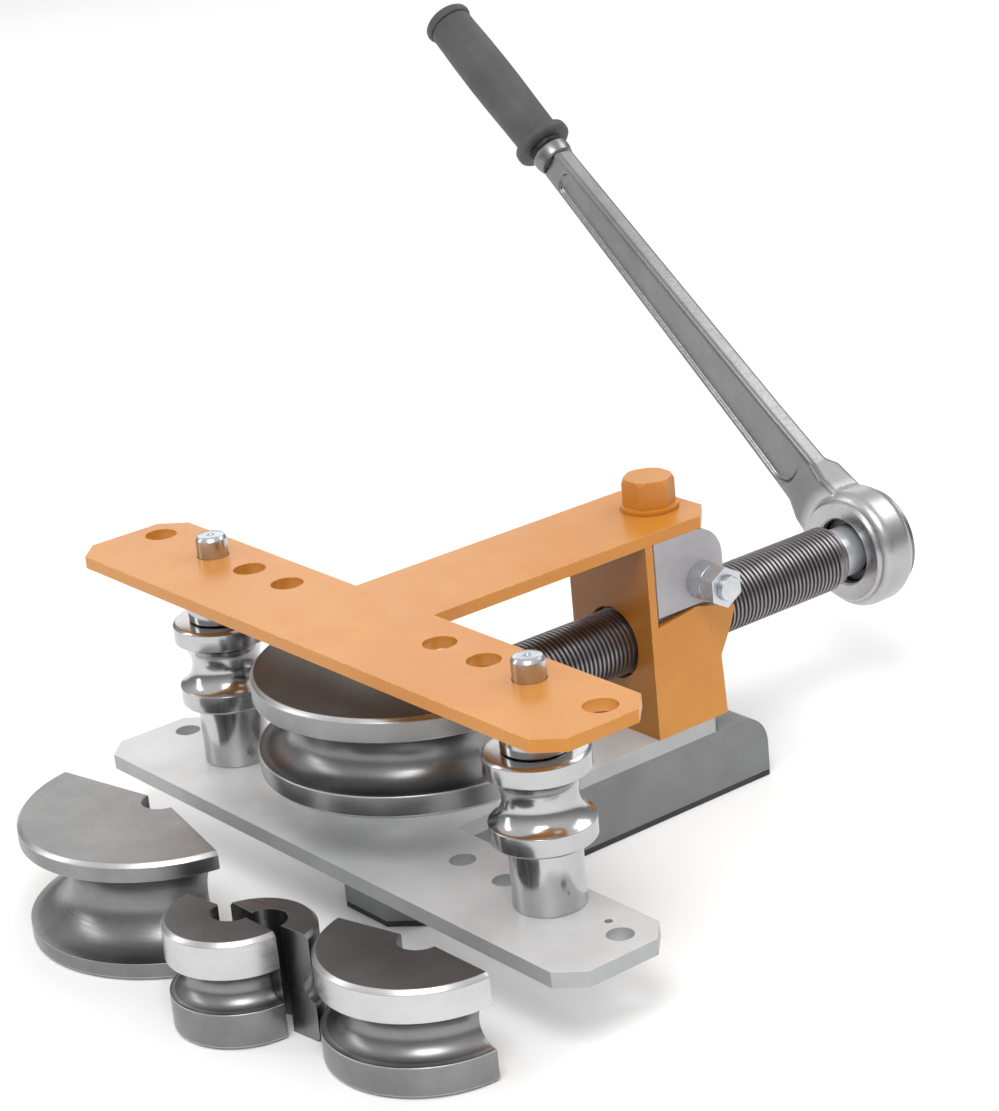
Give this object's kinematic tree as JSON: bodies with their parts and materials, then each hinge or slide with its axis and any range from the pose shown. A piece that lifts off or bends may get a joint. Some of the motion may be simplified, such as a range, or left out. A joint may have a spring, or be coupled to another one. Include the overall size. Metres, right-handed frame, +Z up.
{
  "type": "manual tube bender",
  "caption": "Manual tube bender: twin tee plates, grooved rollers on pins, a screw-driven half-round former, a ratchet handle and spare formers.",
  "frame": {"origin": "centre of the foot's underside, on the ground", "axes": "+X along the crossbar, +Y along the screw towards the ratchet, +Z up"},
  "size_m": [0.6603, 0.6245, 0.4519],
  "materials": {
    "sole_rubber": "matt black rubber",
    "plate_zinc": "zinc plated, satin",
    "orange_paint": "orange stove enamel, semi gloss",
    "cast_grey": "fine cast, painted grey",
    "bronze": "machined bronze",
    "steel_bright": "turned steel",
    "roller_chrome": "polished",
    "screw_steel": "oiled dark steel",
    "black_steel": "blackened",
    "thrust_steel": "machined",
    "former_iron": "dark cast, machined groove",
    "handle_chrome": "satin chrome",
    "grip_rubber": "moulded rubber"
  },
  "bodies": {
    "root": {"base_sole": "sole_rubber", "base_foot": "plate_zinc", "foot_screws": "steel_bright", "bottom_plate": "plate_zinc", "top_plate": "orange_paint", "nut_bracket": "orange_paint", "bracket_screws": "steel_bright", "nut_block": "cast_grey", "spindle_nut": "bronze", "cross_bolt_bar": "steel_bright", "cross_bolt_collars": "steel_bright", "cross_bolt_nut": "steel_bright", "top_bolt": "orange_paint", "top_bolt_washer": "orange_paint", "lower_spacer_left": "roller_chrome", "lower_spacer_right": "roller_chrome", "upper_spacer_left": "roller_chrome", "upper_spacer_right": "roller_chrome"},
    "carriage": {"thrust_head": "thrust_steel", "thrust_washer": "bronze", "head_set_screw": "black_steel", "former_shelf": "thrust_steel", "shelf_screws": "black_steel", "former_peg": "steel_bright", "former_mounted": "former_iron"},
    "spindle": {"spindle": "screw_steel", "ratchet_gear": "black_steel", "drive_washer": "steel_bright", "drive_nut": "steel_bright"},
    "handle": {"ratchet_handle": "handle_chrome", "ratchet_cover": "handle_chrome", "cover_screws": "steel_bright", "pawl_pin": "steel_bright", "pawl_spring": "steel_bright", "ferrule": "handle_chrome", "grip": "grip_rubber", "grip_end_cap": "grip_rubber"},
    "pawl": {"pawl": "black_steel"},
    "selector": {"selector_lever": "black_steel"},
    "roller_left": {"roller_left": "roller_chrome", "roller_bush_left": "bronze"},
    "roller_right": {"roller_right": "roller_chrome", "roller_bush_right": "bronze"},
    "pin_left": {"roller_pin_left": "steel_bright"},
    "pin_right": {"roller_pin_right": "steel_bright"},
    "former_large": {"former_large": "former_iron"},
    "former_medium": {"former_medium": "former_iron"},
    "former_small": {"former_small": "former_iron"},
    "former_mini": {"former_mini": "former_iron"}
  },
  "joints": [
    {"name": "former_travel", "type": "slide", "parent": "root", "child": "carriage", "axis": [0, -1, 0], "range_m": [-0.104, 0.02]},
    {"name": "spindle_turn", "type": "hinge", "parent": "carriage", "child": "spindle", "pos_m": [0, 0.282, 0.114], "axis": [0, -1, 0], "range_deg": [-5352, 1032]},
    {"name": "handle_swing", "type": "hinge", "parent": "carriage", "child": "handle", "pos_m": [0, 0.282, 0.114], "axis": [0, 1, 0], "range_deg": [-42, 138]},
    {"name": "pawl_lift", "type": "hinge", "parent": "handle", "child": "pawl", "pos_m": [-0.02821, 0.282, 0.13636], "axis": [0, 1, 0], "range_deg": [0, 8], "stiffness_Nm_per_rad": 0.05},
    {"name": "selector_turn", "type": "hinge", "parent": "handle", "child": "selector", "pos_m": [-0.02978, 0.282, 0.1376], "axis": [0, 1, 0], "range_deg": [-20, 20]},
    {"name": "roller_left_spin", "type": "hinge", "parent": "root", "child": "roller_left", "pos_m": [-0.159, -0.131, 0.125], "axis": [0, 0, 1], "continuous": true},
    {"name": "roller_right_spin", "type": "hinge", "parent": "root", "child": "roller_right", "pos_m": [0.159, -0.131, 0.125], "axis": [0, 0, 1], "continuous": true},
    {"name": "pin_left_lift", "type": "slide", "parent": "root", "child": "pin_left", "axis": [0, 0, 1], "range_m": [0, 0.165]},
    {"name": "pin_right_lift", "type": "slide", "parent": "root", "child": "pin_right", "axis": [0, 0, 1], "range_m": [0, 0.165]},
    {"name": "former_large_lift", "type": "slide", "parent": "root", "child": "former_large", "axis": [0, 0, 1], "range_m": [0, 0.15]},
    {"name": "former_medium_lift", "type": "slide", "parent": "root", "child": "former_medium", "axis": [0, 0, 1], "range_m": [0, 0.15]},
    {"name": "former_small_lift", "type": "slide", "parent": "root", "child": "former_small", "axis": [0, 0, 1], "range_m": [0, 0.15]},
    {"name": "former_mini_lift", "type": "slide", "parent": "root", "child": "former_mini", "axis": [0, 0, 1], "range_m": [0, 0.15]}
  ],
  "couplings": [
    {"joint": "spindle_turn", "follows": "former_travel", "rad_per_m": 897.6}
  ]
}
